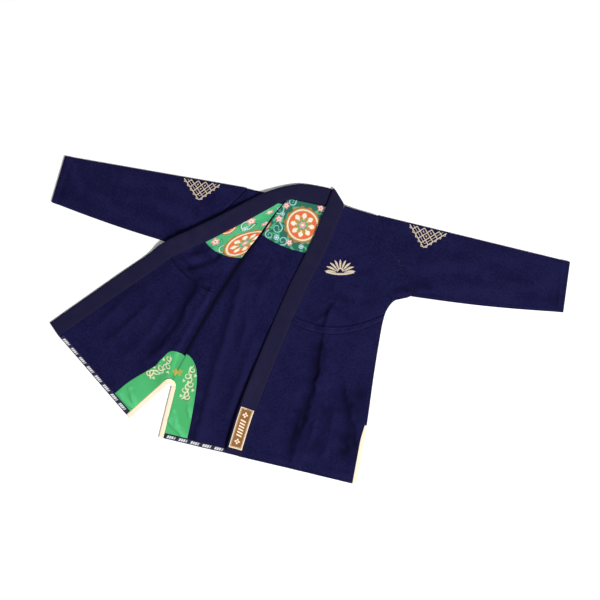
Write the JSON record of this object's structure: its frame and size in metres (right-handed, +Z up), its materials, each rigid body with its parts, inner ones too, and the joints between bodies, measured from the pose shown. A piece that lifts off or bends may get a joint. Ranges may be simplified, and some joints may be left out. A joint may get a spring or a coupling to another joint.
{
  "type": "jiu-jitsu gi jacket, laid flat and opened",
  "caption": "Woven martial-arts jacket laid flat on its back, right front thrown open over the sleeve to show its lining, with a thick stitched lapel and side vents.",
  "frame": {"origin": "centre of the footprint, on the surface that the jacket lies on", "axes": "+X towards the wearer's left cuff, +Y from the hem to the collar, +Z up off the surface"},
  "size_m": [1.676, 0.901, 0.0322],
  "materials": {
    "pearl_weave": "matte navy cotton pearl weave",
    "lapel_cloth": "matte navy ripstop cotton over a firm core, closely stitched",
    "yoke_print": "smooth printed lining",
    "vent_patch": "green printed cotton",
    "vent_tape": "cream cotton tape",
    "hem_tape": "navy woven tape with small white marks",
    "label_cloth": "brown embroidered patch with a cream border"
  },
  "bodies": {
    "root": {"back_panel": "pearl_weave", "yoke_lining_back": "yoke_print", "hem_tape_back": "hem_tape", "vent_tape_back_left": "vent_tape", "vent_tape_back_right": "vent_tape", "vent_patch_back": "vent_patch", "sleeve_left": "pearl_weave", "sleeve_right": "pearl_weave", "front_left_lower": "pearl_weave", "front_left_upper": "pearl_weave", "lapel_left": "lapel_cloth", "lapel_label": "label_cloth", "front_right_lower": "pearl_weave", "front_right_upper": "pearl_weave", "lapel_right": "lapel_cloth", "collar_neck": "lapel_cloth", "yoke_lining_right": "yoke_print", "vent_tape_front_right": "vent_tape", "vent_patch_right": "vent_patch", "hem_tape_right": "hem_tape"}
  },
  "joints": []
}
